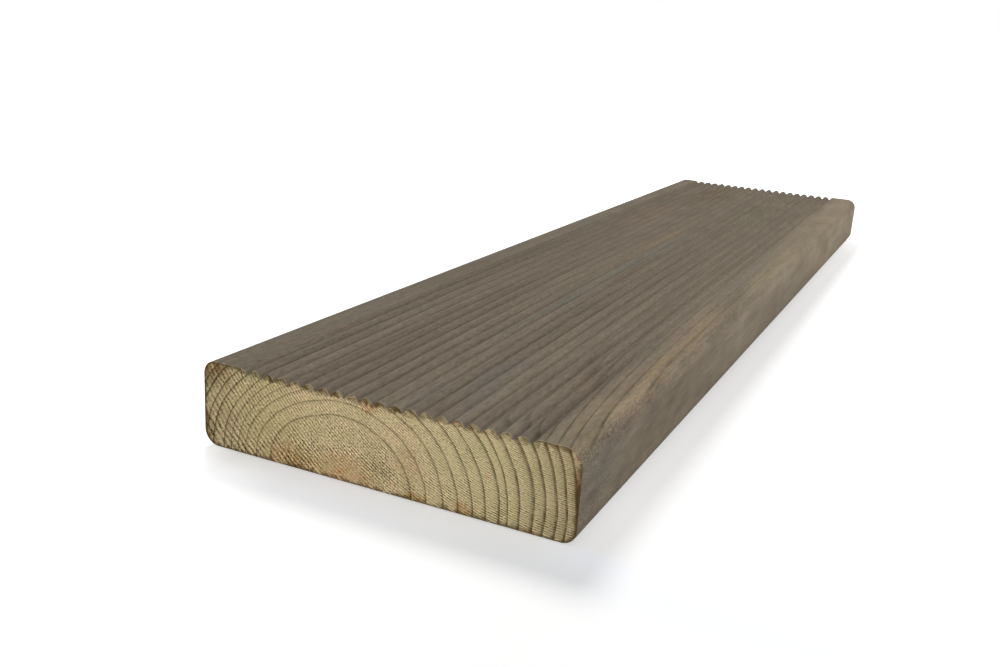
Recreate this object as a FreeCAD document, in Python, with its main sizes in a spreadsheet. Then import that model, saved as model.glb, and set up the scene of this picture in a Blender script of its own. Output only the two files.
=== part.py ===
"""Reeded softwood decking board: one planed length with a grooved walking face.

The board lies flat with its grooved face up. +Y runs along the grain, +X across the width and +Z up,
and the origin is at the middle of the underside. It is made as the mill makes it: a rectangular
stick is planed to size, its four long arrises are rounded, a row of grooves is moulded into the top
face between two plain margins, and the crests left between the grooves are rounded over.
"""

import math
import os

import FreeCAD
import Part
import Sketcher

NODE = "decking_board"

# Driving dimensions: alias, value in millimetres or degrees, what it measures
SIZES = (
    ("board_width", 145.0, "finished width across the face"),
    ("board_thickness", 32.0, "finished thickness, underside to crests"),
    ("board_length", 600.0, "length between the two sawn ends"),
    ("top_arris_radius", 5.0, "rounding of the two long edges of the walking face"),
    ("bottom_arris_radius", 4.5, "rounding of the two long edges of the underside"),
    ("plain_margin", 16.0, "least plain width beside the outermost groove"),
    ("groove_pitch", 5.7, "groove centre to groove centre"),
    ("groove_depth", 2.1, "walking face to the bottom of a groove"),
    ("flank_angle", 54.0, "slope of a groove's flanks from the walking face, degrees"),
    ("root_radius", 0.4, "rounding at the bottom of a groove"),
    ("crest_radius", 2.1, "rounding of the reeds' crests"),
    ("cutter_overrun", 1.0, "how far the groove's outline reaches above the walking face"),
)

# Sizes worked out from the driving ones: alias, formula in the sheet's own terms, what it measures
DERIVED = (
    (
        "groove_width",
        "=2 * (groove_depth + root_radius * (1 / cos(flank_angle * 1deg) - 1)) / tan(flank_angle * 1deg)",
        "mouth of one groove at the walking face",
    ),
    (
        "groove_count",
        "=floor((board_width - 2 * plain_margin - groove_width) / groove_pitch) + 1",
        "grooves that fit between the plain margins",
    ),
    (
        "first_groove",
        "=(groove_count - 1) * groove_pitch / 2",
        "centre line of the board to the first groove's centre",
    ),
    (
        "crest_rounding",
        "=min(crest_radius; 0.49 * (groove_pitch - groove_width) / tan(flank_angle * 0.5deg))",
        "crest radius, limited by the flat land between two grooves",
    ),
)

# Closeness at which two lengths in millimetres count as equal
SAME = 1e-4


def make_sheet(doc):
    """The spreadsheet that holds every size, one alias to a row."""
    sheet = doc.addObject("Spreadsheet::Sheet", "Sizes")
    for row, (alias, value, note) in enumerate(SIZES + DERIVED, start=1):
        sheet.set(f"A{row}", alias)
        sheet.set(f"B{row}", str(value))
        sheet.setAlias(f"B{row}", alias)
        sheet.set(f"C{row}", note)
    doc.recompute()
    return sheet


def section_sketch(body, name):
    """A sketch on the board's cross-section plane: sketch x is +X and sketch y is +Z."""
    plane = next(o for o in body.Origin.OriginFeatures if o.Role == "XZ_Plane")
    sketch = body.newObject("Sketcher::SketchObject", name)
    sketch.AttachmentSupport = (plane, [""])
    sketch.MapMode = "FlatFace"
    return sketch


def bind(sketch, constraint, formula):
    """Adds a dimension to the sketch and ties it to the sheet."""
    index = sketch.addConstraint(constraint)
    sketch.setExpression(f"Constraints[{index}]", formula)


def straight(start, end):
    """A sketch line between two (x, z) points."""
    return Part.LineSegment(FreeCAD.Vector(*start, 0), FreeCAD.Vector(*end, 0))


def plank(body, sheet):
    """The planed stick: a rectangle standing on the sketch's x axis, centred on its y axis."""
    width, height = sheet.board_width, sheet.board_thickness
    corners = [(-width / 2, 0), (width / 2, 0), (width / 2, height), (-width / 2, height)]
    sketch = section_sketch(body, "PlankSection")
    sides = [sketch.addGeometry(straight(corners[i], corners[(i + 1) % 4])) for i in range(4)]
    bottom, right, top, left = sides
    for i in range(4):
        sketch.addConstraint(Sketcher.Constraint("Coincident", sides[i], 2, sides[(i + 1) % 4], 1))
    for side in (bottom, top):
        sketch.addConstraint(Sketcher.Constraint("Horizontal", side))
    for side in (right, left):
        sketch.addConstraint(Sketcher.Constraint("Vertical", side))
    sketch.addConstraint(Sketcher.Constraint("Symmetric", bottom, 1, bottom, 2, -1, 1))
    bind(sketch, Sketcher.Constraint("DistanceX", bottom, 1, bottom, 2, width), "Sizes.board_width")
    bind(sketch, Sketcher.Constraint("DistanceY", right, 1, right, 2, height), "Sizes.board_thickness")
    pad = body.newObject("PartDesign::Pad", "Plank")
    pad.Profile = sketch
    pad.SideType = "Symmetric"
    pad.setExpression("Length", "Sizes.board_length")
    return pad


def long_edges(shape, heights, half_width):
    """Names of the edges along the grain at one of the heights, no further out than half_width."""
    names = []
    for number, edge in enumerate(shape.Edges, start=1):
        box = edge.BoundBox
        along = box.YLength > SAME and box.XLength < SAME and box.ZLength < SAME
        at_height = any(abs(box.ZMin - height) < SAME for height in heights)
        if along and at_height and abs(box.XMin) < half_width + SAME:
            names.append(f"Edge{number}")
    return names


def round_edges(body, base, name, edges, formula):
    """Rounds the named edges of a feature to a radius held in the sheet."""
    fillet = body.newObject("PartDesign::Fillet", name)
    fillet.Base = (base, edges)
    fillet.setExpression("Radius", formula)
    return fillet


def groove(body, sheet):
    """One groove, the leftmost: two sloping flanks tangent to a small round root."""
    slope = math.radians(sheet.flank_angle)
    centre, top = -sheet.first_groove, sheet.board_thickness
    mouth = top + sheet.cutter_overrun
    root_z = top - sheet.groove_depth + sheet.root_radius
    reach = sheet.groove_width / 2 + sheet.cutter_overrun / math.tan(slope)
    touch_x = sheet.root_radius * math.sin(slope)
    touch_z = root_z - sheet.root_radius * math.cos(slope)
    left_touch, right_touch = (centre - touch_x, touch_z), (centre + touch_x, touch_z)
    left_mouth, right_mouth = (centre - reach, mouth), (centre + reach, mouth)

    sketch = section_sketch(body, "GrooveOutline")
    left = sketch.addGeometry(straight(left_mouth, left_touch))
    circle = Part.Circle(FreeCAD.Vector(centre, root_z, 0), FreeCAD.Vector(0, 0, 1), sheet.root_radius)
    from_angle, to_angle = 1.5 * math.pi - slope, 1.5 * math.pi + slope
    root = sketch.addGeometry(Part.ArcOfCircle(circle, from_angle, to_angle))
    right = sketch.addGeometry(straight(right_touch, right_mouth))
    lid = sketch.addGeometry(straight(right_mouth, left_mouth))
    sketch.addConstraint(Sketcher.Constraint("Tangent", left, 2, root, 1))
    sketch.addConstraint(Sketcher.Constraint("Tangent", root, 2, right, 1))
    sketch.addConstraint(Sketcher.Constraint("Coincident", right, 2, lid, 1))
    sketch.addConstraint(Sketcher.Constraint("Coincident", lid, 2, left, 1))
    sketch.addConstraint(Sketcher.Constraint("Horizontal", lid))
    sketch.addConstraint(Sketcher.Constraint("Equal", left, right))
    bind(sketch, Sketcher.Constraint("Radius", root, sheet.root_radius), "Sizes.root_radius")
    bind(sketch, Sketcher.Constraint("Angle", lid, 1, right, 2, slope), "Sizes.flank_angle * 1deg")
    bind(sketch, Sketcher.Constraint("DistanceX", root, 3, -1, 1, -centre), "Sizes.first_groove")
    bind(
        sketch,
        Sketcher.Constraint("DistanceY", -1, 1, root, 3, root_z),
        "Sizes.board_thickness - Sizes.groove_depth + Sizes.root_radius",
    )
    bind(
        sketch,
        Sketcher.Constraint("DistanceY", -1, 1, right, 2, mouth),
        "Sizes.board_thickness + Sizes.cutter_overrun",
    )
    pocket = body.newObject("PartDesign::Pocket", "Groove")
    pocket.Profile = sketch
    pocket.SideType = "Symmetric"
    pocket.Type = "ThroughAll"
    return pocket


def groove_row(body, pocket):
    """The row of grooves across the walking face."""
    row = body.newObject("PartDesign::LinearPattern", "GrooveRow")
    row.Originals = [pocket]
    row.Direction = (pocket.Profile[0], ["H_Axis"])
    row.Mode = "Spacing"
    row.setExpression("Offset", "Sizes.groove_pitch")
    row.setExpression("Occurrences", "Sizes.groove_count")
    body.Tip = row
    return row


def board(doc, sheet):
    """The whole board as one body."""
    body = doc.addObject("PartDesign::Body", "DeckingBoard")
    body.Label = NODE
    top, outer = sheet.board_thickness, sheet.board_width / 2
    stick = plank(body, sheet)
    doc.recompute()
    upper = long_edges(stick.Shape, [top], outer)
    eased = round_edges(body, stick, "TopArrises", upper, "Sizes.top_arris_radius")
    doc.recompute()
    lower = long_edges(eased.Shape, [0.0], outer)
    planed = round_edges(body, eased, "BottomArrises", lower, "Sizes.bottom_arris_radius")
    doc.recompute()
    one = groove(body, sheet)
    doc.recompute()
    row = groove_row(body, one)
    doc.recompute()
    field = sheet.first_groove + sheet.groove_width / 2
    shoulders = long_edges(row.Shape, [top], field)
    round_edges(body, row, "Crests", shoulders, "Sizes.crest_rounding")
    doc.recompute()
    volumes = [feature.Shape.Volume for feature in (stick, planed, one, row, body)]
    if any(after >= before for before, after in zip(volumes, volumes[1:])):
        raise RuntimeError(f"a cut took nothing away: volumes {volumes}")
    print(f"{int(sheet.groove_count)} grooves, {len(shoulders)} rounded shoulders")
    return body


def check(doc, body):
    """Stops the build if anything failed to recompute or the board isn't one sound solid."""
    failed = [o.Name for o in doc.Objects if {"Invalid", "Error"} & set(o.State)]
    if failed:
        raise RuntimeError(f"failed to recompute: {failed}")
    shape = body.Shape
    if shape.isNull() or not shape.isValid() or len(shape.Solids) != 1:
        raise RuntimeError("the board is not one valid solid")
    box = shape.BoundBox
    print(f"{body.Label}: {box.XLength:.2f} x {box.YLength:.2f} x {box.ZLength:.2f} mm")
    print(f"{body.Label}: {shape.Volume / 1000:.1f} cm3, {len(shape.Faces)} faces")


def main():
    doc = FreeCAD.newDocument("DeckingBoard")
    sheet = make_sheet(doc)
    body = board(doc, sheet)
    check(doc, body)
    os.makedirs("parts", exist_ok=True)
    body.Shape.exportStep(f"parts/{body.Label}.step")


main()
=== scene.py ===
# %% [markdown]
# A reeded decking board. The real thing is one stick of pine: sawn, planed, moulded with a row of
# grooves, stained grey-brown in a pressure tank and cut to length afterwards, so that its two ends
# are fresh, pale wood. This lesson builds that board in Blender round a measured CAD frame, grows
# rings through it, stains it and lights it. The frame comes first, because the board's length, width
# and thickness are read from it, so that the dressed board fills just the measured one's place.

# %% Load the measured frame
import math
from functools import partial

import bpy
from mathutils import Matrix, Vector


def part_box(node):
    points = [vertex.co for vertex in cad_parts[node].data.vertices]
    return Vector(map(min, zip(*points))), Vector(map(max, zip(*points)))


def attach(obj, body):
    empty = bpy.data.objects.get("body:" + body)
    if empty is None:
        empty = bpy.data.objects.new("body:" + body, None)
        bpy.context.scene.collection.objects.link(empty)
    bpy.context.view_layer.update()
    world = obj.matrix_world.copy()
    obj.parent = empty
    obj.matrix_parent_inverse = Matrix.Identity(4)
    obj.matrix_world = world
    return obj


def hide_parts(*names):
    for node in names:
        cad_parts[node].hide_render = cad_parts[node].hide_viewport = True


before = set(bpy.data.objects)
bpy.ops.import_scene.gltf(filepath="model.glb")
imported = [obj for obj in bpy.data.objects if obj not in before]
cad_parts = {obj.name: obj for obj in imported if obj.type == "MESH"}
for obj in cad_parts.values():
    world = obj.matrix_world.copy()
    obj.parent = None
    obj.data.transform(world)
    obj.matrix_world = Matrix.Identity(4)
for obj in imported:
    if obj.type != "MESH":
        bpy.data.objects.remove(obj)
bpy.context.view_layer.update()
board_low, board_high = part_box("decking_board")
MM = 0.001
width, length, thickness = (board_high - board_low) / MM
print(f"board to dress: {width:.1f} x {length:.1f} x {thickness:.1f} mm")

# %% [markdown]
# Geometry Nodes and materials are both trees of nodes, so one helper serves them all. It adds a
# node, sets its properties, and fills its inputs: a number is typed in, and a socket or another node
# is wired in. Most nodes here do plain sums, and for those the name of the sum is enough. Each tree
# then gets its own add, which is this helper with the tree filled in, so that each line stays close to
# the sentence it stands for. A short second helper multiplies any number of values.

# %% Helpers for every node
RANGE = "ShaderNodeMapRange"
MIX = "ShaderNodeMix"
RAMP = "ShaderNodeValToRGB"


def add_node(tree, kind, inputs=(), **settings):
    """Adds a node and fills its inputs, in order or by name, with values, sockets or whole nodes.

    A kind in capitals is a maths node's operation, or a vector maths node's if it says VECTOR first.
    """
    if kind.isupper():
        *vector, settings["operation"] = kind.split()
        kind = "ShaderNodeVectorMath" if vector else "ShaderNodeMath"
    node = tree.nodes.new(kind)
    for name, value in settings.items():
        setattr(node, name, value)
    for place, value in inputs.items() if isinstance(inputs, dict) else enumerate(inputs):
        if isinstance(value, bpy.types.Node):
            value = next(socket for socket in value.outputs if socket.enabled)
        if isinstance(value, bpy.types.NodeSocket):
            tree.links.new(value, node.inputs[place])
        else:
            node.inputs[place].default_value = value
    return node


def product(add, *shares):
    """All the shares multiplied together."""
    total = shares[0]
    for share in shares[1:]:
        total = add("MULTIPLY", [total, share])
    return total


print("node helpers ready")

# %% [markdown]
# The board's shape follows a rule: a rounded rectangle, the same all along, with grooves at an even
# pitch across the top. A modelling artist could sweep a drawn section, or stack modifiers. Here a
# Geometry Nodes tree bends a finely divided box into shape by formula, because then each groove,
# arris and row of faces stays an even grid of quads, and every size is a named input.

# %% Start the board's tree with its named sizes
# Millimetres, apart from the count, the seed and the flanks' slope, which is in radians
BOARD_SIZES = {
    "Width": width,
    "Length": length,
    "Thickness": thickness,
    "Left arris": 5.0,
    "Right arris": 6.6,
    "Left bottom arris": 6.0,
    "Right bottom arris": 5.2,
    "Groove count": 20.0,
    "Groove pitch": 5.7,
    "Groove depth": 2.1,
    "Flank slope": math.radians(54.0),
    "Root radius": 0.4,
    "Crest radius": 2.1,
    "Cutter offset": 0.85,
    "Cutter drift": -3.4,
    "Drift run": 200.0,
    "Cutter wander": 0.28,
    "Worn depth": 0.16,
    "End chips": 1.3,
    "End arris": 0.1,
    "Seed": 7.0,
}
COLUMNS_PER_GROOVE = 14
ROWS_ALONG = 84
ROWS_UP = 10

tree = bpy.data.node_groups.new("reeded_board_shape", "GeometryNodeTree")
for name in BOARD_SIZES:
    tree.interface.new_socket(name, in_out="INPUT", socket_type="NodeSocketFloat")
for name in ("Stained faces", "Sawn ends"):
    tree.interface.new_socket(name, in_out="INPUT", socket_type="NodeSocketMaterial")
tree.interface.new_socket("Board", in_out="OUTPUT", socket_type="NodeSocketGeometry")
add = partial(add_node, tree)
size = add("NodeGroupInput").outputs

flat_half = width / 2 - BOARD_SIZES["Left arris"]
girth = flat_half + BOARD_SIZES["Left arris"] * math.pi / 2
columns = 2 * round(girth * COLUMNS_PER_GROOVE / BOARD_SIZES["Groove pitch"])
# The box runs from -1 to 1 each way, so a point's place is a share of the board's size
box = add("GeometryNodeMeshCube", [(2.0, 2.0, 2.0), columns + 1, ROWS_ALONG + 1, ROWS_UP + 1])
share = add("ShaderNodeSeparateXYZ", [add("GeometryNodeInputPosition")]).outputs
print(f"box divided into {columns} columns, {ROWS_ALONG} rows along and {ROWS_UP} up")

# %% [markdown]
# Across the board, equal steps run along the flat top and on round the arris, so the columns are as
# close on the curve as on the flat. Along the board, a sine bunches the rows up at both sawn ends,
# where chips need them, and spreads them in the middle, where the wood is straight.

# %% Lay out the columns and the rows
on_right = add("GREATER_THAN", [share["X"], 0.0])
arris = add(MIX, {0: on_right, 2: size["Left arris"], 3: size["Right arris"]})
half_width = add("MULTIPLY", [size["Width"], 0.5])
flat = add("SUBTRACT", [half_width, arris])
arc = add("MULTIPLY", [arris, math.pi / 2])
reach = add("ADD", [flat, arc])
walk = add("MULTIPLY", [share["X"], reach])
walked = add("ABSOLUTE", [walk])
past = add("MAXIMUM", [add("SUBTRACT", [walked, flat]), 0.0])
turn = add("DIVIDE", [past, arris])
sine = add("SINE", [turn])
cosine = add("COSINE", [turn])
level = add("MINIMUM", [walked, flat])
out = add("MULTIPLY_ADD", [sine, arris, level])
side = add("SIGN", [walk])
x = add("MULTIPLY", [out, side])
dip = add("SUBTRACT", [1.0, cosine])
dip = add("MULTIPLY", [dip, arris])
plain_top = add("SUBTRACT", [size["Thickness"], dip])

angle = add("MULTIPLY", [share["Y"], math.pi / 2])
swing = add("SINE", [angle])
half_length = add("MULTIPLY", [size["Length"], 0.5])
y = add("MULTIPLY", [swing, half_length])
inboard = add("ABSOLUTE", [y])
inboard = add("SUBTRACT", [half_length, inboard])
print("columns and rows laid out")

# %% [markdown]
# The underside is flat between two arrises of its own. A second curved grid could make them, but it is
# enough to raise each column there by what a circle leaves out of a square corner.


# %% Round the lower arrises
def circle(add, radius, off):
    """Height of a circle above its middle at a distance from it, or 0 beyond its radius."""
    square = add("MULTIPLY", [radius, radius])
    height = add("MULTIPLY", [off, off])
    height = add("SUBTRACT", [square, height])
    height = add("MAXIMUM", [height, 0.0])
    return add("SQRT", [height])


lower = add(MIX, {0: on_right, 2: size["Left bottom arris"], 3: size["Right bottom arris"]})
under = add("SUBTRACT", [half_width, lower])
under = add("SUBTRACT", [out, under])
under = add("MAXIMUM", [under, 0.0])
bottom = add("SUBTRACT", [lower, circle(add, lower, under)])
print("lower arrises rounded")

# %% [markdown]
# A groove is a V with a small round root and shoulders rolled over into the next reed. The board went
# into the cutter a little off the middle and then settled, so the whole row drifts to the left near
# the front and runs straight behind, as an exponential does. The cutter also shook and wore, so each
# groove wanders by a fraction of a millimetre and none is quite as deep everywhere. Noise that is long
# in y and different in each groove does that.

# %% Find each column's place in its groove
settled = add("ADD", [y, half_length])
settled = add("DIVIDE", [settled, size["Drift run"]])
settled = add("MULTIPLY", [settled, -1.0])
settled = add("EXPONENT", [settled])
settled = add("SUBTRACT", [1.0, settled])
drift = add("MULTIPLY_ADD", [settled, size["Cutter drift"], size["Cutter offset"]])
row_x = add("SUBTRACT", [x, drift])
number = add("DIVIDE", [row_x, size["Groove pitch"]])
number = add("FLOOR", [number])
groove_x = add("ADD", [number, 0.5])
groove_x = add("MULTIPLY", [groove_x, size["Groove pitch"]])
# Length of one shake along the board, in millimetres
CUTTER_SHAKE = 140.0
# How far apart two neighbouring grooves, and shake and wear, lie in the noise
GROOVE_APART = 0.73
WEAR_APART = 3.7
shake_y = add("DIVIDE", [y, CUTTER_SHAKE])
shake_at = add("ShaderNodeCombineXYZ", [number, shake_y, size["Seed"]])
shake_at = add("VECTOR MULTIPLY", [shake_at, (GROOVE_APART, 1.0, 1.0)])
wear_at = add("VECTOR ADD", [shake_at, (0.0, 0.0, WEAR_APART)])
swings = []
for at, scale, most in ((shake_at, 1.0, size["Cutter wander"]), (wear_at, 1.3, size["Worn depth"])):
    noise = add("ShaderNodeTexNoise", {"Vector": at, "Scale": scale, "Detail": 2.0})
    swing = add(RANGE, [noise, 0.0, 1.0, -1.0, 1.0], clamp=False)
    swings.append(add("MULTIPLY", [swing, most]))
sway, worn = swings
groove_x = add("ADD", [groove_x, sway])
off = add("ABSOLUTE", [add("SUBTRACT", [row_x, groove_x])])
print("grooves numbered and shaken")

# %% [markdown]
# Now the groove's own outline, as a height above its root for each distance from its centre: a small
# arc at the root, a straight flank tangent to it, a large arc over the crest, then the level land.
# Four formulas joined by switches give the same section that the CAD frame has.

# %% Draw one groove's section
slope_sine = add("SINE", [size["Flank slope"]])
slope_cosine = add("COSINE", [size["Flank slope"]])
slope = add("TANGENT", [size["Flank slope"]])
root_end = add("MULTIPLY", [size["Root radius"], slope_sine])
root_drop = add("MULTIPLY", [size["Root radius"], slope_cosine])
root_lift = add("SUBTRACT", [size["Root radius"], root_drop])

flank = add("SUBTRACT", [off, root_end])
flank = add("MULTIPLY_ADD", [flank, slope, root_lift])

root = add("SUBTRACT", [size["Root radius"], circle(add, size["Root radius"], off)])

mouth = add("SUBTRACT", [size["Groove depth"], root_lift])
mouth = add("DIVIDE", [mouth, slope])
mouth = add("ADD", [mouth, root_end])
half_slope = add("TANGENT", [add("MULTIPLY", [size["Flank slope"], 0.5])])
crest_x = add("MULTIPLY_ADD", [size["Crest radius"], half_slope, mouth])
crest_start = add("MULTIPLY", [size["Crest radius"], slope_sine])
crest_start = add("SUBTRACT", [crest_x, crest_start])
crest = circle(add, size["Crest radius"], add("SUBTRACT", [crest_x, off]))
crest_base = add("SUBTRACT", [size["Groove depth"], size["Crest radius"]])
crest = add("ADD", [crest, crest_base])

height = size["Groove depth"]
for limit, curve in ((crest_x, crest), (crest_start, flank), (root_end, root)):
    nearer = add("LESS_THAN", [off, limit])
    height = add("GeometryNodeSwitch", [nearer, height, curve], input_type="FLOAT")
field = product(add, size["Groove count"], size["Groove pitch"], 0.5)
in_field = add("LESS_THAN", [add("ABSOLUTE", [row_x]), field])
cut = add("SUBTRACT", [size["Groove depth"], height])
cut = add("MULTIPLY", [cut, in_field])
groove_share = add("DIVIDE", [cut, size["Groove depth"]])
wear = add("MULTIPLY", [worn, groove_share])
cut = add("ADD", [cut, wear])
print("groove section drawn")

# %% [markdown]
# The saw that cut the board to length broke bits off the reeds, where short grain had nothing behind
# it. Each chip is a small scoop at the very end that fades within a few millimetres. Noise picks
# which reeds are hit, and a threshold leaves about half of them whole.

# %% Chip the ends of the reeds
# A chip's size across and along, in millimetres
CHIP_SPACING = 3.4
CHIP_RUN = 1.1
# Noise at which a chip begins, and at which it is deepest
CHIP_BEGINS = 0.5
CHIP_DEEPEST = 0.8
chip_x = add("DIVIDE", [x, CHIP_SPACING])
which_end = add("SIGN", [y])
chip_at = add("ShaderNodeCombineXYZ", [chip_x, which_end, size["Seed"]])
chip = add("ShaderNodeTexNoise", {"Vector": chip_at, "Scale": 1.0, "Detail": 3.0})
chip = add(RANGE, [chip, CHIP_BEGINS, CHIP_DEEPEST])
fade = add("EXPONENT", [add("DIVIDE", [inboard, -CHIP_RUN])])
above_root = add("SUBTRACT", [1.0, groove_share])
chip = product(add, chip, fade, size["End chips"], above_root, in_field)
cut = add("ADD", [cut, chip])
top = add("SUBTRACT", [plain_top, cut])
print("reed ends chipped")

# %% [markdown]
# With its top and bottom known in each column, the box becomes the board. The last row of faces at
# each end is drawn in by a hair, the way a sawn edge is never a perfect corner, and edges that turn
# sharply are marked sharp, so that light breaks there and nowhere else.

# %% Finish the tree
upward = add(RANGE, [share["Z"], -1.0, 1.0])
z = add(MIX, {0: upward, 2: bottom, 3: top})
shrink = add(RANGE, [inboard, 0.0, size["End arris"], size["End arris"], 0.0])
middle = add("MULTIPLY", [size["Thickness"], 0.5])
lift = add("SUBTRACT", [z, middle])
lift = add("DIVIDE", [lift, middle])
lift = add("MULTIPLY", [lift, shrink])
z = add("SUBTRACT", [z, lift])
squeeze = add("DIVIDE", [x, half_width])
squeeze = add("MULTIPLY", [squeeze, shrink])
x = add("SUBTRACT", [x, squeeze])
place = add("ShaderNodeCombineXYZ", [x, y, z])
place = add("VECTOR SCALE", {0: place, "Scale": MM})
board_mesh = add("GeometryNodeSetPosition", {"Geometry": box.outputs["Mesh"], "Position": place})

# Edges that turn by more are sharp, and faces that look along the grain by this share are ends
SHARP_TURN = math.radians(50.0)
END_FACING = 0.9
board_mesh = add("GeometryNodeSetShadeSmooth", {0: board_mesh, "Shade Smooth": True}, domain="FACE")
turning = add("GeometryNodeInputMeshEdgeAngle")
sharp = add("GREATER_THAN", [turning, SHARP_TURN])
board_mesh = add("GeometryNodeSetShadeSmooth", [board_mesh, sharp, False], domain="EDGE")
board_mesh = add("GeometryNodeRealizeInstances", [board_mesh])
facing = add("ShaderNodeSeparateXYZ", [add("GeometryNodeInputNormal")]).outputs["Y"]
is_end = add("GREATER_THAN", [add("ABSOLUTE", [facing]), END_FACING])
board_mesh = add("GeometryNodeSetMaterial", {0: board_mesh, "Material": size["Stained faces"]})
board_mesh = add("GeometryNodeSetMaterial", [board_mesh, is_end, size["Sawn ends"]])
add("NodeGroupOutput", {0: board_mesh})
print(f"shape tree has {len(tree.nodes)} nodes")

# %% [markdown]
# Colours are given as sRGB hex values, the way a paint chart gives them, but a renderer adds light in linear
# values. One function turns the first into the second, and a second one fills a colour ramp with such
# values.


# %% Colours
def linear(hex_colour):
    """An sRGB hex colour as the linear RGBA that a node wants."""
    channels = [int(hex_colour[i : i + 2], 16) / 255 for i in (1, 3, 5)]
    return [c / 12.92 if c <= 0.04045 else ((c + 0.055) / 1.055) ** 2.4 for c in channels] + [1.0]


def paint(ramp, *stops):
    """Sets a colour ramp's stops, given as (place, hex colour or grey share)."""
    elements = ramp.color_ramp.elements
    while len(elements) > 1:
        elements.remove(elements[-1])
    for number, (place, colour) in enumerate(stops):
        element = elements[0] if number == 0 else elements.new(place)
        element.position = place
        element.color = linear(colour) if isinstance(colour, str) else (colour, colour, colour, 1.0)
    return ramp


print("fresh pine in linear light:", [round(c, 3) for c in linear("#baa478")])

# %% [markdown]
# Wood is not painted on: its figure is the growth rings, cut by whatever face the saw made. So the
# rings are one solid pattern round the pith, which lies at this board's underside, and the end and
# the long faces each cut through the same rings. A tree leans and grows faster on one side, so the
# rings are flatter than circles, by one share to the left of the pith and another to its right, tighter
# on the left and bent up towards the right edge. Distance from the pith is looked up in two curves, one
# for each side, that hold each year's ring. Near the front end the trunk flared, so there the rings
# spread outwards.

# %% Growth rings
# Millimetres, apart from the flatnesses and the count of later rings
PITH_X = -13.6
SIDES_MEET = 18.0
LEFT_FLATNESS = 0.79
RIGHT_FLATNESS = 0.86
BEND_FROM = 36.0
BEND_TO = 66.0
BEND_RISE = 8.5
RIGHT_RINGS = (9, 19, 27.6, 33.4, 39.7, 45.1, 50.5, 55.2, 60.1, 62.8, 66.8, 71.5, 75.2, 79.2, 82.5, 86, 89.8)
LEFT_RINGS = (9.8, 20.7, 30.3, 36.3, 41, 44.2, 47.4, 50.8, 55.6, 58.8, 63, 66, 69, 72, 75, 78, 81)
LATER_RINGS = 6
LATER_RING_WIDTH = 4.0
FLARE = 8.5
FLARE_RUN = 60.0
RING_WANDER = 0.9
# Radius of the core and of the outer wood, and how much narrower year lines are in the core
CORE = 25.0
OUTER_WOOD = 70.0
CORE_LINES = 2.0


def places(add):
    """Object coordinates in millimetres: the whole vector and its three parts."""
    at = add("ShaderNodeTexCoord").outputs["Object"]
    at = add("VECTOR SCALE", {0: at, "Scale": 1 / MM}).outputs[0]
    return at, add("ShaderNodeSeparateXYZ", [at]).outputs


def streaks(add, at, across, along, detail=2.0, shift=0.0, levels=None):
    """Noise drawn out along the grain: its size across and along, in millimetres.

    Levels, where given, spread what lies between the first two of them over the last two.
    """
    scale = (1 / across, 1 / along, 1 / across)
    stretched = add("ShaderNodeMapping", {"Vector": at, "Scale": scale, "Location": (shift, shift, shift)})
    noise = add("ShaderNodeTexNoise", {"Vector": stretched, "Scale": 1.0, "Detail": detail})
    if levels:
        noise = add(RANGE, [noise, *levels])
    return noise


def dying_away(add, part, run):
    """A share that is 1 at the near end and dies away behind it, over a run in millimetres."""
    back = add("ADD", [part["Y"], length / 2])
    return add("EXPONENT", [add("DIVIDE", [back, -run])])


def growth_rings(add, at, part, outer_lines):
    """Distance from the pith in millimetres, and a share that is 1 on the dark line ending each year.

    The lines narrow towards the pith, and outer_lines says how narrow they are in the outer wood.
    """
    across = add("SUBTRACT", [part["X"], PITH_X])
    middle = add(RANGE, [part["X"], BEND_FROM, BEND_TO, 0.0, BEND_RISE])
    up = add("SUBTRACT", [part["Z"], middle])
    wander = streaks(add, at, 17.0, 140.0, detail=1.0)
    wander = add(RANGE, [wander, 0.0, 1.0, -RING_WANDER, RING_WANDER], clamp=False)
    flare = add(RANGE, [dying_away(add, part, FLARE_RUN), 0.0, 1.0, FLARE, 0.0])
    spread = add("ADD", [wander, flare])
    counts = []
    for rings, flatness in ((LEFT_RINGS, LEFT_FLATNESS), (RIGHT_RINGS, RIGHT_FLATNESS)):
        raised = add("DIVIDE", [up, flatness])
        spot = add("ShaderNodeCombineXYZ", [across, raised])
        radius = add("VECTOR LENGTH", [spot])
        radius = add("ADD", [radius, spread])
        ends = list(rings) + [rings[-1] + LATER_RING_WIDTH * (n + 1) for n in range(LATER_RINGS)]
        scaled = add("DIVIDE", [radius, ends[-1]])
        years = add("ShaderNodeFloatCurve", {"Value": scaled})
        curve = years.mapping.curves[0]
        for number, ring in enumerate(ends[:-1], start=1):
            curve.points.new(ring / ends[-1], number / len(ends))
        for point in curve.points:
            point.handle_type = "VECTOR"
        years.mapping.update()
        counts.append(add("MULTIPLY", [years, float(len(ends))]))
    which = add(RANGE, [part["X"], PITH_X - SIDES_MEET, PITH_X])
    year = add(MIX, {0: which, 2: counts[0], 3: counts[1]})
    year = add("FRACT", [year])
    left_of_year = add("SUBTRACT", [1.0, year])
    thinner = add(RANGE, [radius, CORE, OUTER_WOOD, CORE_LINES, outer_lines])
    left_of_year = add("MULTIPLY", [left_of_year, thinner], use_clamp=True)
    line = add(RAMP, [left_of_year])
    return radius, paint(line, (0.0, 0.9), (0.05, 1.0), (0.11, 0.8), (0.2, 0.22), (0.5, 0.0))


print(f"{len(RIGHT_RINGS)} rings to the right of the pith and {len(LEFT_RINGS)} to its left")

# %% [markdown]
# Stained wood is never one colour: here the stain ran bluish, there resin kept it out and the wood
# stayed warm. Such places can be painted by hand, or left to noise. Here each is a line in a table,
# a soft-edged patch with a middle, a reach and a tint, because a patch can then sit just where it
# should and still be broken up by the same noise as everything round it. Other layers only make the
# colour lighter or darker, by a swing that is multiplied by shares for the places where it may show.


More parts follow.
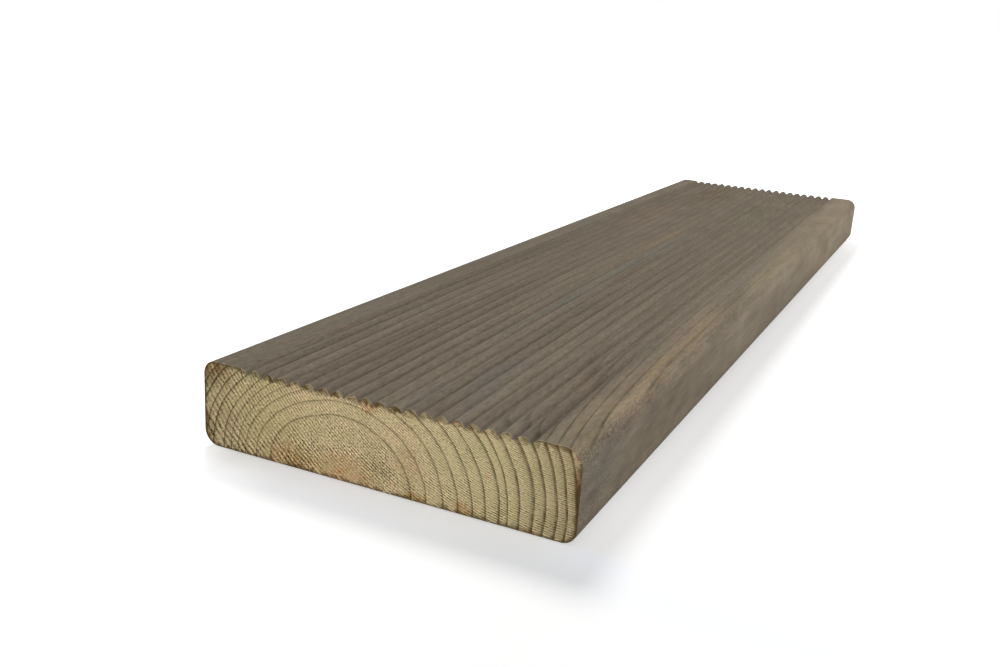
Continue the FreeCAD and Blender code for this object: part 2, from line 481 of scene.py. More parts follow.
# %% Helpers for layers of colour
def patch(add, at, colour, middle, reach, tint, mottle):
    """Lays a soft-edged, mottled patch of another tint over a colour."""
    off = add("VECTOR SUBTRACT", [at, middle])
    off = add("VECTOR DIVIDE", [off, reach])
    far = add("VECTOR LENGTH", [off])
    near = add(RANGE, [far, 1.0, 0.2], interpolation_type="SMOOTHSTEP")
    near = add("MULTIPLY", [near, mottle], use_clamp=True)
    return add(MIX, {0: near, 6: colour, 7: linear(tint)}, data_type="RGBA")


def vary(add, colour, swing, *shares):
    """Makes a colour lighter or darker by a swing, as far as the shares let it."""
    scale = add("ADD", [product(add, swing, *shares), 1.0])
    return add("VECTOR SCALE", {0: colour, "Scale": scale})


def shade(add, colour, ramps):
    """Multiplies a colour by ramps: each a value, where it starts and ends, and its shares there."""
    for value, start, end, first, last in ramps:
        share = add(RANGE, [value, start, end, first, last])
        colour = add("VECTOR SCALE", {0: colour, "Scale": share})
    return colour


def across_row(add, part):
    """Place across the row of grooves in millimetres, and a share that is 1 inside the row."""
    unsettled = dying_away(add, part, BOARD_SIZES["Drift run"])
    first = BOARD_SIZES["Cutter offset"]
    last = first + BOARD_SIZES["Cutter drift"]
    drift = add(RANGE, [unsettled, 0.0, 1.0, last, first])
    row_x = add("SUBTRACT", [part["X"], drift])
    half_row = BOARD_SIZES["Groove count"] * BOARD_SIZES["Groove pitch"] / 2
    in_row = add("ABSOLUTE", [row_x])
    return row_x, add("LESS_THAN", [in_row, half_row])


def blank_material(name):
    """A new material, empty, and a function that adds nodes to it."""
    material = bpy.data.materials.new(name)
    material.use_nodes = True
    material.node_tree.nodes.clear()
    return material, partial(add_node, material.node_tree)


WOOD_IOR = 1.5


def wood_surface(add, colour, relief, depth, strength, roughness, gloss):
    """Ends a wood material with its colour, a relief so many millimetres deep and a dull gloss."""
    bump = add("ShaderNodeBump", {"Height": relief, "Distance": depth * MM, "Strength": strength})
    wood = {"Base Color": colour, "Roughness": roughness, "IOR": WOOD_IOR, "Specular IOR Level": gloss}
    surface = add("ShaderNodeBsdfPrincipled", {**wood, "Normal": bump})
    add("ShaderNodeOutputMaterial", [surface])


print("layer helpers ready")

# %% [markdown]
# The long faces are planed pine under a grey-brown, water-based stain. Stain sinks in unevenly: soft
# early wood drinks it, resin refuses it, so the colour runs in long streaks, some olive, some pinkish.
# Layers of stretched noise, each at a real size, build that up, and they grow calmer towards the back.

# %% Stain
NEAR = -length / 2
TOP = thickness - 1.0
SIDE = width / 2
# Each patch's middle (across, back from the near end, up) and reach in millimetres, and its tint
STAIN_PATCHES = (
    ((0.6, 225, TOP), (2.8, 210, 7), "#69685f"),
    ((2.6, 330, TOP), (2.8, 120, 7), "#69685f"),
    ((10.0, 18, TOP), (4.5, 26, 7), "#6f6a62"),
    ((20.5, 45, TOP), (5.0, 40, 7), "#6e6b65"),
    ((27.0, 25, TOP), (4.0, 28, 7), "#6f6b64"),
    ((-7.0, 330, TOP), (5.0, 140, 7), "#80735d"),
    ((-63.0, 190, TOP), (8.0, 120, 7), "#665b4c"),
    ((-27.0, 530, TOP), (22.0, 90, 7), "#665a48"),
    ((-42.0, 420, TOP), (14.0, 80, 7), "#756557"),
    ((18.0, 470, TOP), (20.0, 90, 7), "#6d6754"),
    ((51.0, 470, TOP), (6.0, 160, 7), "#7d7261"),
    ((64.0, 500, TOP), (12.0, 260, 9), "#8b7d67"),
    ((66.0, 30, TOP), (11.0, 150, 6), "#8a7b61"),
    ((67.5, 115, TOP), (4.4, 110, 6), "#8c7960"),
    ((69.5, 48, TOP), (4.5, 34, 5), "#a08d75"),
    ((63.0, 165, TOP), (8.0, 60, 6), "#8e7d64"),
    ((68.0, 300, TOP), (6.0, 120, 6), "#95886e"),
    ((71.5, 118, TOP - 2), (3.0, 40, 5), "#9c8d79"),
    ((71.5, 310, TOP - 3), (4.0, 130, 6), "#998c76"),
    ((71.0, 255, TOP - 3), (2.0, 50, 4), "#6f6b64"),
    ((-56.0, 10, TOP + 1), (0.9, 1.6, 4), "#2c2620"),
    # Patches on the right side, lighter towards the back: mottled stain, and partly painted light on the
    # side
    ((SIDE, 18, 18.0), (8.0, 40, 14), "#656157"),
    ((SIDE, 105, 13.0), (8.0, 100, 14), "#696050"),
    ((SIDE, 160, 15.0), (8.0, 50, 11), "#766d5c"),
    ((SIDE, 225, 15.0), (8.0, 80, 13), "#7f7664"),
    ((SIDE, 280, 25.0), (8.0, 180, 9), "#8d8170"),
    ((SIDE, 335, 13.0), (8.0, 60, 13), "#837a69"),
    ((SIDE, 510, 18.0), (9.0, 210, 30), "#9f917a"),
    ((SIDE, 400, 26.0), (8.0, 40, 9), "#918470"),
    ((SIDE, 455, 15.0), (8.0, 34, 14), "#7a6b54"),
)


def rearward(add, part):
    """A share that rises from 0 near the front to 1 at the back."""
    return add(RANGE, [part["Y"], NEAR + 200.0, NEAR + 450.0])


def stain(add, at, part):
    """The stain's colour: long runs that lean to olive or to pinkish brown, and the patches."""
    even = add(RANGE, [rearward(add, part), 0.0, 1.0, 0.0, 0.7])
    wide = streaks(add, at, 9.0, 230.0, detail=3.0)
    wide = add(MIX, {0: even, 2: wide, 3: 0.5})
    colour = paint(add(RAMP, [wide]), (0.3, "#685e51"), (0.5, "#716759"), (0.7, "#7a7061"))
    hue = streaks(add, at, 4.5, 55.0, detail=3.0, shift=31.0)
    hue = add(MIX, {0: even, 2: hue, 3: 0.5})
    for low, high, tint in ((0.52, 0.75, "#6a6650"), (0.48, 0.25, "#776755")):
        lean = add(RANGE, [hue, low, high, 0.0, 0.4])
        colour = add(MIX, {0: lean, 6: colour, 7: linear(tint)}, data_type="RGBA")
    mottle = streaks(add, at, 4.0, 42.0, detail=3.0, shift=53.0, levels=(0.3, 0.7, 0.1, 0.9))
    mottle = add(MIX, {0: even, 2: mottle, 3: 0.55})
    for (x, back, z), reach, tint in STAIN_PATCHES:
        colour = patch(add, at, colour, (x, NEAR + back, z), reach, tint, mottle)
    return colour


print(f"{len(STAIN_PATCHES)} patches of stain")

# %% [markdown]
# Two layers follow the wood's shape. Year lines come from the growth rings, clear on the right margin near
# the front and faint elsewhere. The grooves get painted light and shade. Near the front that is a dark line
# deep in each groove, with painted light and shade on its flanks. Further back it is painted light on the
# flanks that the lamps leave in shade and painted shade where they light, which evens the grooves out. Two
# ramps across one groove hold the two looks.

# %% Year lines and grooves
GROOVE_SHADE = 0.32
# Painted light and shade across one groove, crest to crest: near the front, a dark line deep in the groove
# with painted light and shade on its flanks; at the back, painted light where the lamps leave shade and
# painted shade where they light. Each stop is the place as a share of the pitch, and a share of light
NEAR_GROOVE_SHADING = (
    (0.0, 0.43), (0.16, 0.44), (0.24, 0.53), (0.31, 0.58), (0.355, 0.46), (0.4, 0.12),
    (0.5, 0.06), (0.7, 0.18), (0.8, 0.58), (0.89, 0.6), (1.0, 0.43),
)
FAR_GROOVE_SHADING = (
    (0.0, 0.05), (0.1, 0.18), (0.17, 0.39), (0.23, 0.7), (0.29, 0.92), (0.36, 0.93),
    (0.45, 0.86), (0.5, 0.3), (0.66, 0.3), (0.75, 0.45), (0.85, 0.2), (1.0, 0.05),
)


def on_top(add, part):
    """A share that is 1 on the walking face and 0 from 4 mm below it."""
    return add(RANGE, [part["Z"], thickness - 4.0, thickness - 1.0])


def year_lines(add, at, part, colour):
    """Draws a broken dark line where each year's growth ends."""
    _, line = growth_rings(add, at, part, outer_lines=0.8)
    back = add(RANGE, [part["Y"], NEAR, NEAR + 330.0, 0.95, 0.1])
    margin = add(RANGE, [part["X"], 34.0, 56.0, 0.12, 1.0])
    breaks = streaks(add, at, 2.0, 14.0, detail=3.0, shift=61.0, levels=(0.3, 0.65, 0.3, 1.0))
    drawn = product(add, line, line, back, margin, on_top(add, part), breaks)
    return add(MIX, {0: drawn, 6: colour, 7: linear("#41382c")}, data_type="RGBA")


def painted_groove_shading(add, at, part, colour):
    """Paints light and shade into the grooves: strong near the front, and at the back evening out the lamps'
    shading.
    """
    row_x, in_row = across_row(add, part)
    turn = add("FRACT", [add("DIVIDE", [row_x, BOARD_SIZES["Groove pitch"]])])
    near_shading = paint(add(RAMP, [turn]), *NEAR_GROOVE_SHADING)
    far_shading = paint(add(RAMP, [turn]), *FAR_GROOVE_SHADING)
    behind = add(RANGE, [part["Y"], NEAR + 60.0, NEAR + 460.0], interpolation_type="SMOOTHSTEP")
    off_middle = add("ABSOLUTE", [part["X"]])
    # Places where the grooves lean more to the back's evening painted light: a value, where it begins and is
    # full, how much, and where along the board it sets in
    evened_places = (
        (part["X"], 5.0, 45.0, 0.4, 20.0, 90.0),
        (part["X"], -5.0, -45.0, 0.3, 110.0, 190.0),
        (off_middle, 24.0, 10.0, 0.14, 0.0, 10.0),
    )
    for value, none, full, most, begin, end in evened_places:
        evened = add(RANGE, [value, none, full, 0.0, most])
        set_in = add(RANGE, [part["Y"], NEAR + begin, NEAR + end])
        evened = add("MULTIPLY", [evened, set_in])
        behind = add("ADD", [evened, behind], use_clamp=True)
    # Painted light and shade across the grooves, from the near ramp to the far one
    groove = add(MIX, {0: behind, 6: near_shading, 7: far_shading}, data_type="RGBA")
    groove = add(RANGE, [groove, 0.0, 1.0, -GROOVE_SHADE, GROOVE_SHADE])
    broken = streaks(add, at, 3.0, 36.0, detail=3.0, shift=71.0, levels=(0.3, 0.7, 0.3, 1.7))
    broken = add(MIX, {0: behind, 2: broken, 3: 1.0})
    return vary(add, colour, groove, in_row, on_top(add, part), broken)


print(f"groove tones have {len(NEAR_GROOVE_SHADING)} stops near the front and {len(FAR_GROOVE_SHADING)} at the back")

# %% [markdown]
# Wet stain raises the wood's fibres. Fuzz is thickest on the walking face near the front, and dark
# specks sit on its left there, while the back has soft blotches and only faint fibres. Real fibres are
# too fine for a picture of the whole board, so fuzz and fibres are drawn coarser here.


# %% Fibres, fuzz and specks
def raised_fibres(add, at, part, fibre, colour):
    """Lays fuzz, specks, blotches and long fibres over a colour."""
    fuzz = streaks(add, at, 0.9, 4.0, detail=4.0, shift=17.0, levels=(0.25, 0.75, -0.22, 0.22))
    thick = add(RANGE, [part["Y"], NEAR, -NEAR, 1.0, 0.3])
    planed = add(RANGE, [part["Z"], thickness - 7.0, thickness - 3.0, 0.35, 1.0])
    colour = vary(add, colour, fuzz, thick, planed)

    speck = streaks(add, at, 0.8, 1.6, detail=1.0, shift=97.0, levels=(0.68, 0.76, 0.0, 0.45))
    leftward = add(RANGE, [part["X"], 25.0, -15.0])
    forward = add(RANGE, [part["Y"], NEAR + 300.0, NEAR + 60.0])
    speck = product(add, speck, leftward, forward, on_top(add, part))
    colour = add(MIX, {0: speck, 6: colour, 7: linear("#3a3128")}, data_type="RGBA")

    rear = rearward(add, part)
    blotch = streaks(add, at, 10.0, 24.0, shift=101.0, levels=(0.3, 0.7, -0.12, 0.12))
    colour = vary(add, colour, blotch, rear)
    grain = add(RANGE, [rear, 0.0, 1.0, 0.1, 0.025])
    fibres = add(RANGE, [fibre, 0.25, 0.75, -1.0, 1.0])
    return vary(add, colour, fibres, grain)


print("fibres ready")

# %% [markdown]
# The edges were handled most. A rough nap stands along the right arris and at the near corner of the
# right side, again coarser than real nap so that it shows. Both sides are bruised, darkest near the
# front, and the last fibres at both ends are torn and pale.


# %% Nap, bruises and torn ends
def rough_places(add, at, part):
    """A share for how rough the right side's nap is."""
    fringe = add(RANGE, [part["Z"], 20.0, 27.0])
    run = add(RANGE, [part["Y"], NEAR + 20.0, NEAR + 140.0, 1.0, 0.0])
    corner = add(RANGE, [part["Y"], NEAR + 5.0, NEAR + 55.0, 0.9, 0.0])
    fringe = add("MULTIPLY", [fringe, run])
    rough = add("MAXIMUM", [fringe, corner])
    on_side = add(RANGE, [part["X"], SIDE - 5.0, SIDE - 1.5, 0.05, 1.0])
    tufts = streaks(add, at, 4.0, 13.0, shift=43.0, levels=(0.35, 0.65, 0.35, 1.35))
    return product(add, rough, on_side, tufts)


def handled(add, at, part, colour):
    """Bruises both sides and tears the ends of the walking face."""
    bruise = streaks(add, at, 6.0, 20.0, detail=3.0, shift=83.0, levels=(0.3, 0.7, -0.25, 0.18))
    deep = add(RANGE, [part["Y"], NEAR + 60.0, NEAR + 260.0, 1.0, 0.25])
    off_middle = add("ABSOLUTE", [part["X"]])
    on_sides = add(RANGE, [off_middle, SIDE - 3.0, SIDE - 1.0])
    colour = vary(add, colour, bruise, deep, on_sides)

    reach = add("ABSOLUTE", [part["Y"]])
    reach = add(RANGE, [reach, -NEAR - 0.7, -NEAR - 0.2])
    torn = streaks(add, at, 1.6, 1.6, shift=23.0, levels=(0.4, 0.6, 0.05, 0.5))
    torn = product(add, torn, reach, on_top(add, part))
    return add(MIX, {0: torn, 6: colour, 7: linear("#b3a384")}, data_type="RGBA")


print("wear ready")

# %% [markdown]
# The first material is then these layers in their order, from the stain to the last torn fibre, with a slow
# drift of painted light and shade among them. Fibres and nap return at the end as a fine relief on a matt
# surface.


# %% Stained planed pine
def stained_planed_pine():
    """Matt, streaked grey-brown: olive, bluish and warm runs, painted light and shade in the grooves and
    across the faces, torn pale ends.
    """
    material, add = blank_material("stained_planed_pine")
    at, part = places(add)
    colour = stain(add, at, part)
    colour = year_lines(add, at, part, colour)
    colour = painted_groove_shading(add, at, part, colour)
    fibre = streaks(add, at, 0.8, 26.0, detail=3.0, shift=11.0)
    colour = raised_fibres(add, at, part, fibre, colour)

    # Painted light and shade: darker to the left, lighter on the right side and to the back
    shades = (
        (part["X"], -SIDE, -SIDE + 45.0, 0.82, 1.0),
        (part["X"], SIDE - 4.0, SIDE - 0.5, 1.0, 1.08),
        (part["Y"], NEAR, -NEAR, 1.01, 1.14),
    )
    colour = shade(add, colour, shades)

    nap = streaks(add, at, 0.55, 1.4, shift=5.0)
    rough = rough_places(add, at, part)
    swing = add(RANGE, [nap, 0.3, 0.7, -0.36, 0.36])
    colour = vary(add, colour, swing, rough)
    colour = handled(add, at, part, colour)
    relief = add("MULTIPLY_ADD", [nap, rough, fibre])
    wood_surface(add, colour, relief, depth=0.12, strength=0.7, roughness=0.85, gloss=0.1)
    return material


stained_faces = stained_planed_pine()
print(f"{stained_faces.name}: {len(stained_faces.node_tree.nodes)} nodes")

# %% [markdown]
# The ends were cut after staining, so they show pale, unstained end grain, in broad clouds and a few
# patches. Growth rings cross it as thin dark lines, faint near the pith and darker outwards. An end
# shows the wood cut across, so here every pattern is drawn out far along the grain.

# %% End grain
# How far the end's patterns reach along the grain, in millimetres
END_DEPTH = 60.0
# How far from the pith a ramp outwards ends, in millimetres
RAMP_REACH = 100.0
# Each patch's middle and reach across and up, in millimetres, and its tint
END_PATCHES = (
    ((-48.0, 16.0), (32.0, 24.0), "#c9b682"),
    ((42.0, 16.0), (36.0, 28.0), "#cbbe8f"),
    ((-12.0, 3.0), (17.0, 11.0), "#c69d70"),
    ((-34.0, 3.0), (15.0, 9.0), "#a37d48"),
    ((-69.0, 29.0), (12.0, 9.0), "#7d6037"),
    ((-72.0, 5.0), (6.0, 12.0), "#7a5f38"),
    ((12.0, 13.0), (7.0, 10.0), "#c3a680"),
    ((-62.0, 12.0), (6.0, 6.0), "#bb9d7b"),
    ((33.0, 2.0), (5.0, 4.0), "#a37c42"),
    ((15.0, 1.5), (6.0, 3.0), "#a37c42"),
    ((72.0, 21.0), (3.0, 11.0), "#8a5f33"),
    ((-3.0, 30.0), (5.0, 4.0), "#b58450"),
    ((2.0, 8.0), (7.0, 5.0), "#9c9069"),
    ((72.0, 16.0), (1.4, 11.0), "#3c2d18"),
    ((-72.3, 15.0), (1.3, 13.0), "#4a3a20"),
)


def end_wood(add, at, flat, cloud):
    """Wood between the rings, in clouds of olive and pinkish tan, with its patches."""
    colour = paint(add(RAMP, [cloud]), (0.3, "#beae81"), (0.5, "#cdba8f"), (0.7, "#d6bb94"))
    mottle = streaks(add, at, 2.5, END_DEPTH, detail=3.0, shift=41.0, levels=(0.3, 0.7, 0.1, 1.0))
    for (x, z), (reach_x, reach_z), tint in END_PATCHES:
        colour = patch(add, flat, colour, (x, 0.0, z), (reach_x, 1.0, reach_z), tint, mottle)
    return colour


def end_rings(add, at, part, line, outward):
    """A share for how dark the year lines are, outwards from the pith and from left to right."""
    depth = add(RAMP, [outward])
    paint(depth, (0.22, 0.08), (0.27, 0.72), (0.36, 0.75), (0.5, 0.85), (0.62, 0.95), (0.85, 1.0))
    fainter = add(RAMP, [add(RANGE, [part["X"], -SIDE, SIDE])])
    paint(fainter, (0.06, 1.0), (0.14, 0.8), (0.4, 0.85), (0.5, 0.95), (0.7, 0.85))
    uneven = streaks(add, at, 4.0, END_DEPTH, detail=3.0, shift=67.0, levels=(0.3, 0.7, 0.65, 1.15))
    return product(add, line, depth, fainter, uneven)


print(f"{len(END_PATCHES)} patches of end grain")

# %% [markdown]
# Across the rings run the arcs that the circular saw's teeth left. They are circles about the blade's
# middle, wide apart where the cut began and finer where the feed slowed, and broken into patches and
# dashes. A sine of the distance from the blade's middle draws them all at once.

# %% Saw marks
# The blade's middle and the arc where the count starts, in millimetres, and arcs to the millimetre
SAW_X = 75.0
SAW_Z = 127.0
SAW_START = 119.0
SAW_PER_MM = 1.28
SAW_SLOWING = 0.0065


def saw_marks(add, at, part, flat, outward):
    """A swing along the saw's arcs, strongest at the left and low down, where the teeth left the wood."""
    spot = add("VECTOR SUBTRACT", [flat, (SAW_X, 0.0, SAW_Z)])
    swept = add("VECTOR LENGTH", [spot])
    swept = add("SUBTRACT", [swept, SAW_START])
    rate = add("MULTIPLY_ADD", [swept, -SAW_SLOWING, SAW_PER_MM])
    jitter = streaks(add, at, 5.0, END_DEPTH, shift=9.0)
    teeth = add("MULTIPLY_ADD", [swept, rate, jitter])
    teeth = add("MULTIPLY", [teeth, math.tau])
    teeth = add("SINE", [teeth])
    teeth = add(RANGE, [teeth, -0.4, 1.0, 0.45, -1.0])
    patchy = streaks(add, at, 6.0, END_DEPTH, shift=13.0, levels=(0.35, 0.6, 0.35, 1.0))
    dashes = streaks(add, at, 0.75, END_DEPTH, detail=1.0, shift=19.0, levels=(0.35, 0.65, 0.0, 1.6))
    bite = add(RAMP, [outward])
    paint(bite, (0.08, 0.35), (0.14, 0.75), (0.22, 0.75), (0.28, 0.55), (0.55, 0.62), (0.75, 0.6))
    begun = add(RANGE, [part["X"], -15.0, -50.0, 1.0, 1.05])
    leaving = add(RANGE, [part["Z"], 13.0, 3.0, 1.0, 1.45])
    return product(add, bite, patchy, dashes, begun, leaving, teeth)


print(f"saw marks {1 / SAW_PER_MM:.2f} mm apart where the count starts")

# %% [markdown]
# Stain shows on the ends only as a dark rim, where it soaked in from the faces before the cut: ragged,
# deepest where a ring let it in, and filling the tips of most reeds. So the rim needs the distance in
# from the outline, which is a rectangle with four different round corners.


# %% The stain's rim
def stain_rim(add, at, part, flat, ring):
    """A share that is largest along the outline of the end and in the reeds' tips."""
    right_half = add("GREATER_THAN", [part["X"], 0.0])
    upper_half = add("GREATER_THAN", [part["Z"], thickness / 2])
    corners = []
    for place in ("bottom arris", "arris"):
        left, right = (BOARD_SIZES[f"{side} {place}"] for side in ("Left", "Right"))
        corners.append(add(MIX, {0: right_half, 2: left, 3: right}))
    arris = add(MIX, {0: upper_half, 2: corners[0], 3: corners[1]})
    inner = add("ShaderNodeCombineXYZ", [arris, 0.0, arris])
    inner = add("VECTOR SUBTRACT", [(SIDE, 0.0, thickness / 2), inner])
    centred = add("VECTOR SUBTRACT", [flat, (0.0, 0.0, thickness / 2)])
    beyond = add("VECTOR ABSOLUTE", [centred])
    beyond = add("VECTOR SUBTRACT", [beyond, inner])
    beyond = add("VECTOR MAXIMUM", [beyond, (0.0, 0.0, 0.0)])
    inside = add("VECTOR LENGTH", [beyond])
    inside = add("SUBTRACT", [arris, inside])

    soak = streaks(add, at, 2.6, END_DEPTH, shift=37.0, levels=(0.35, 0.7, 0.35, 3.6))
    soak = add("MULTIPLY_ADD", [ring, 2.0, soak])
    rim = add("DIVIDE", [inside, soak])
    rim = add(RANGE, [rim, 1.0, 0.1, 0.0, 0.8], interpolation_type="SMOOTHSTEP")

    _, in_row = across_row(add, part)
    ragged = streaks(add, at, 2.0, END_DEPTH, detail=3.0, shift=91.0, levels=(0.3, 0.7, -1.0, 1.0))
    ragged = add("ADD", [part["Z"], ragged])
    tip = add(RANGE, [ragged, thickness - 2.9, thickness - 1.9, 0.0, 0.95])
    filled = streaks(add, at, 5.0, END_DEPTH, shift=47.0, levels=(0.42, 0.58, 0.35, 1.0))
    bared = add(RANGE, [part["X"], 8.0, 40.0, 1.0, 0.6])
    return add("MAXIMUM", [rim, product(add, tip, in_row, filled, bared)])


print("rim ready")

# %% [markdown]
# The second material lays rings, saw marks and a speckle of cut fibres over the pale wood, paints shade on
# it towards both sides and puts the brown rim on last. The speckle is drawn coarser than real fibres.


# %% Sawn pine end grain
def sawn_pine_end():
    """Pale tan end grain, dark thin rings, fine saw arcs and a brown rim of stain."""
    material, add = blank_material("sawn_pine_end_grain")
    at, part = places(add)
    flat = add("VECTOR MULTIPLY", [at, (1.0, 0.0, 1.0)])
    radius, line = growth_rings(add, at, part, outer_lines=0.6)
    outward = add("DIVIDE", [radius, RAMP_REACH])
    cloud = streaks(add, at, 9.0, END_DEPTH, detail=3.0, shift=3.0)
    colour = end_wood(add, at, flat, cloud)
    ring = end_rings(add, at, part, line, outward)
    colour = add(MIX, {0: ring, 6: colour, 7: linear("#47381a")}, data_type="RGBA")
    marks = saw_marks(add, at, part, flat, outward)
    colour = vary(add, colour, marks)

    speckle = streaks(add, at, 0.8, END_DEPTH, detail=3.0, shift=29.0)
    calm = add(RANGE, [part["X"], 5.0, 32.0, 0.0, 0.45])
    speckle = add(MIX, {0: calm, 2: speckle, 3: 0.5})
    dots = streaks(add, at, 0.55, END_DEPTH, detail=1.0, shift=79.0, levels=(0.34, 0.5, -0.55, 0.1))
    core = add(RAMP, [outward])
    paint(core, (0.06, 0.25), (0.12, 1.0), (0.22, 0.9), (0.29, 0.2), (0.7, 0.1))
    colour = vary(add, colour, dots, core)
    # Speckle of cut fibres, then painted shade darker towards both sides
    shades = (
        (speckle, 0.25, 0.75, 0.58, 1.42),
        (part["X"], -SIDE, -25.0, 0.75, 1.0),
        (part["X"], 25.0, 55.0, 1.0, 0.93),
        (part["X"], 55.0, SIDE, 1.0, 0.78),
    )
    colour = shade(add, colour, shades)

    rim = stain_rim(add, at, part, flat, ring)
    brown = paint(add(RAMP, [cloud]), (0.35, "#47401f"), (0.5, "#533f1e"), (0.65, "#5a3a1b"))
    colour = add(MIX, {0: rim, 6: colour, 7: brown}, data_type="RGBA")
    relief = add("MULTIPLY_ADD", [speckle, 0.5, marks])
    wood_surface(add, colour, relief, depth=0.25, strength=0.6, roughness=0.9, gloss=0.15)
    return material


sawn_ends = sawn_pine_end()
print(f"{sawn_ends.name}: {len(sawn_ends.node_tree.nodes)} nodes")

# %% [markdown]
# The tree and both finishes are ready, so the board can be made: the modifier's inputs are set by
# their identifiers, the result is turned into a plain mesh, and the modifier is thrown away. A plain
# mesh is what the frame's rules and the export both want.

# %% Make the board
carrier = bpy.data.objects.new("board_carrier", bpy.data.meshes.new("board_carrier"))
bpy.context.scene.collection.objects.link(carrier)
shaping = carrier.modifiers.new("reeded_board_shape", "NODES")
shaping.node_group = tree
values = dict(BOARD_SIZES, **{"Stained faces": stained_faces, "Sawn ends": sawn_ends})
for item in tree.interface.items_tree:
    if item.in_out == "INPUT":
        shaping[item.identifier] = values[item.name]
evaluated = carrier.evaluated_get(bpy.context.evaluated_depsgraph_get())
mesh = bpy.data.meshes.new_from_object(evaluated)
mesh.name = "reeded_board"
board = bpy.data.objects.new("reeded_board", mesh)
bpy.context.scene.collection.objects.link(board)
bpy.data.objects.remove(carrier)
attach(board, "root")
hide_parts("decking_board")
triangles = sum(len(face.vertices) - 2 for face in mesh.polygons)
print(f"{board.name}: {len(mesh.vertices)} points, {triangles} triangles, {len(mesh.materials)} finishes")

# %% [markdown]
# The picture is a plain studio shot: a white ground, soft light all round and a pale shadow. The
# ground is a sheet of white paper a hair below the board, wide enough that its edge is never seen.

# %% Ground
# Half the sheet's side in metres, and how far it lies below the board
GROUND_HALF = 6.0
GROUND_DROP = 0.2 * MM
signs = ((-1, -1), (1, -1), (1, 1), (-1, 1))
corners = [(GROUND_HALF * across, GROUND_HALF * along, -GROUND_DROP) for across, along in signs]
ground_mesh = bpy.data.meshes.new("ground")
ground_mesh.from_pydata(corners, [], [(0, 1, 2, 3)])
ground = bpy.data.objects.new("ground", ground_mesh)
bpy.context.scene.collection.objects.link(ground)
print(f"ground {2 * GROUND_HALF:.0f} m wide")

# %% [markdown]
# The paper glows, but only for the camera, so that it throws no extra light on the wood. It glows more
# the further away it lies, so that it meets the white sky without an edge. Close to the board a few
# more lifts thin the shadow out, as a reflector would, and at the foot of the near end the glow is
# bluish, which cancels the warm light that the wood throws on the paper.

# %% White paper
# Least glow, and how far from this middle it starts to grow and is full, in millimetres
GROUND_MIDDLE = (-100.0, NEAR, 0.0)
GROUND_GLOW = 0.211
GLOW_FROM = 200.0
GLOW_TO = 1400.0
AHEAD = ("Y", NEAR, NEAR - 20.0, 0.0, 1.0, "SMOOTHSTEP")
# Lifts near the board, each a product of ramps: axis, start and end in millimetres, values there, run
LIFTS = (
    # Beside the right side
    (
        ("X", 50.0, 80.0, 0.0, 0.115, "SMOOTHSTEP"),
        ("X", 78.0, 105.0, 1.0, 0.0, "LINEAR"),
        ("Y", 0.0, 300.0, 1.0, 0.45, "LINEAR"),
        ("Y", -340.0, -260.0, 0.0, 1.0, "SMOOTHSTEP"),
    ),
    # Beside the left side
    (("X", -55.0, -77.0, 0.0, 0.28, "SMOOTHSTEP"),),
    # Before the near end, and more so before its left corner
    (AHEAD, ("X", -SIDE, SIDE, 0.16, -0.04, "LINEAR")),
    (AHEAD, ("X", -30.0, -80.0, 0.0, 0.28, "LINEAR")),
    # Beyond the far end
    (("Y", 220.0, 330.0, 0.0, 0.2, "SMOOTHSTEP"),),
)
# The foot of the near end, and how much stronger the bluish glow is there
FOOT = (
    ("Y", -334.0, -316.0, 0.0, 1.0, "LINEAR"),
    ("Y", -298.0, -303.0, 0.0, 1.0, "LINEAR"),
    ("X", -80.0, -20.0, 0.0, 1.0, "LINEAR"),
)
FOOT_GLOW = 1.08


def region(add, part, ramps):
    """The product of ramps along X and Y."""
    shares = []
    for axis, start, end, first, last, run in ramps:
        ramp = [part[axis], start, end, first, last]
        shares.append(add(RANGE, ramp, interpolation_type=run))
    return product(add, *shares)


def looked_at(add):
    """A share that is 1 for the camera, straight or by way of a mirror or glass, and 0 for other light."""
    rays = add("ShaderNodeLightPath").outputs
    seen = add("MAXIMUM", [rays["Is Camera Ray"], rays["Is Glossy Ray"]])
    return add("MAXIMUM", [seen, rays["Is Transmission Ray"]])


paper, add = blank_material("white_paper_ground")
at, part = places(add)
away = add("VECTOR SUBTRACT", [at, GROUND_MIDDLE])
away = add("VECTOR LENGTH", [away])
lift = add(RANGE, [away, GLOW_FROM, GLOW_TO, GROUND_GLOW, 1.0], interpolation_type="SMOOTHSTEP")
for ramps in LIFTS:
    lift = add("ADD", [lift, region(add, part, ramps)])
at_foot = region(add, part, FOOT)
tint = add(MIX, {0: at_foot, 6: linear("#ffffff"), 7: linear("#e9f1ff")}, data_type="RGBA")
stronger = add(RANGE, [at_foot, 0.0, 1.0, 1.0, FOOT_GLOW])
lift = add("MULTIPLY", [lift, stronger])
glow = add("ShaderNodeEmission", [tint, lift])
matt = add("ShaderNodeBsdfDiffuse", [linear("#e7e7e7")])
shaded = add("ShaderNodeBsdfDiffuse", [linear("#f3f3f3")])
lifted = add("ShaderNodeAddShader", [shaded, glow])
ground_shader = add("ShaderNodeMixShader", [looked_at(add), matt, lifted])
add("ShaderNodeOutputMaterial", [ground_shader])
ground_mesh.materials.append(paper)
print(f"{paper.name}: {len(LIFTS)} lifts near the board")

# %% [markdown]
# The sky is plain white to the camera too, but lights the board with only a quarter of that, so that
# the lamps still shape it.

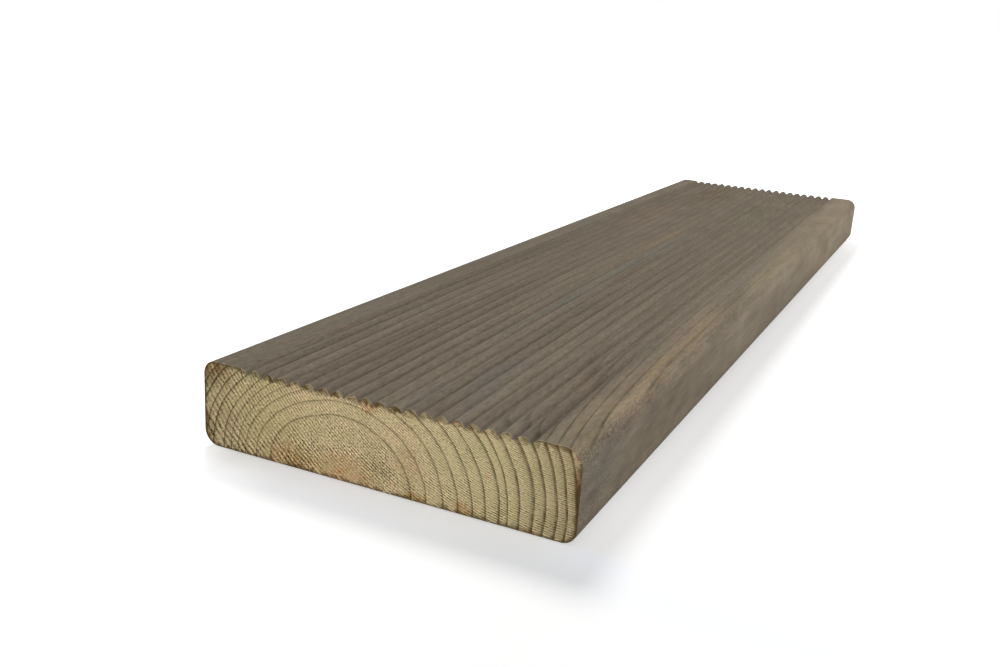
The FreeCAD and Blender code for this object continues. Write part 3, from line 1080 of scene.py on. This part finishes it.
# %% Sky
SKY = 0.25
world = bpy.data.worlds.new("white_studio")
world.use_nodes = True
world.node_tree.nodes.clear()
add = partial(add_node, world.node_tree)
strength = add(RANGE, [looked_at(add), 0.0, 1.0, SKY, 1.0])
sky = add("ShaderNodeBackground", [linear("#ffffff"), strength])
add("ShaderNodeOutputWorld", [sky])
bpy.context.scene.world = world
print(f"sky lights with {SKY} of its white")

# %% [markdown]
# Two lamps do the rest. One high up behind and to the left lays the short shadow in front of the board
# and along its right side. A large pale wall in front fills the end and the right side: a wall that
# size throws no shadow worth seeing, so this lamp casts none.

# %% Lamps
LAMPS = {
    "window behind": {"place": (-0.78, 1.00, 1.56), "size": 0.75, "watts": 25.0, "shadow": True},
    "wall in front": {"place": (1.30, -1.24, 0.86), "size": 1.4, "watts": 23.7, "shadow": False},
}
for name, lamp in LAMPS.items():
    light = bpy.data.lights.new(name, "AREA")
    light.shape = "DISK"
    light.size = lamp["size"]
    light.energy = lamp["watts"]
    light.use_shadow = lamp["shadow"]
    holder = bpy.data.objects.new(name, light)
    holder.location = lamp["place"]
    holder.rotation_euler = (-Vector(lamp["place"])).to_track_quat("-Z", "Y").to_euler()
    bpy.context.scene.collection.objects.link(holder)
print("lamps:", ", ".join(LAMPS))

# %% [markdown]
# The camera stands where the photographer's did: low, in front of the near end and to its right,
# tilted by a few degrees. The place, aim and tilt were found by fitting the board's edges.

# %% Camera
CAMERA_PLACE = Vector((167.3, -572.9, 154.3)) * MM
CAMERA_AIM = Vector((-0.66, -206.67, 32.0)) * MM
CAMERA_ROLL = math.radians(-3.76)
SENSOR = 36.0
FOCAL_PIXELS = 1039.5
PICTURE_WIDTH = 1000
CLIP_START = 10.0 * MM

lens = bpy.data.cameras.new("camera")
lens.sensor_width = SENSOR
lens.lens = FOCAL_PIXELS * SENSOR / PICTURE_WIDTH
lens.clip_start = CLIP_START
camera = bpy.data.objects.new("camera", lens)
turned = (CAMERA_AIM - CAMERA_PLACE).to_track_quat("-Z", "Y").to_matrix()
turned = turned @ Matrix.Rotation(-CAMERA_ROLL, 3, "Z")
camera.location = CAMERA_PLACE
camera.rotation_euler = turned.to_euler()
bpy.context.scene.collection.objects.link(camera)
bpy.context.scene.camera = camera
bpy.context.scene.view_settings.view_transform = "Standard"
print(f"camera lens {lens.lens:.1f} mm")
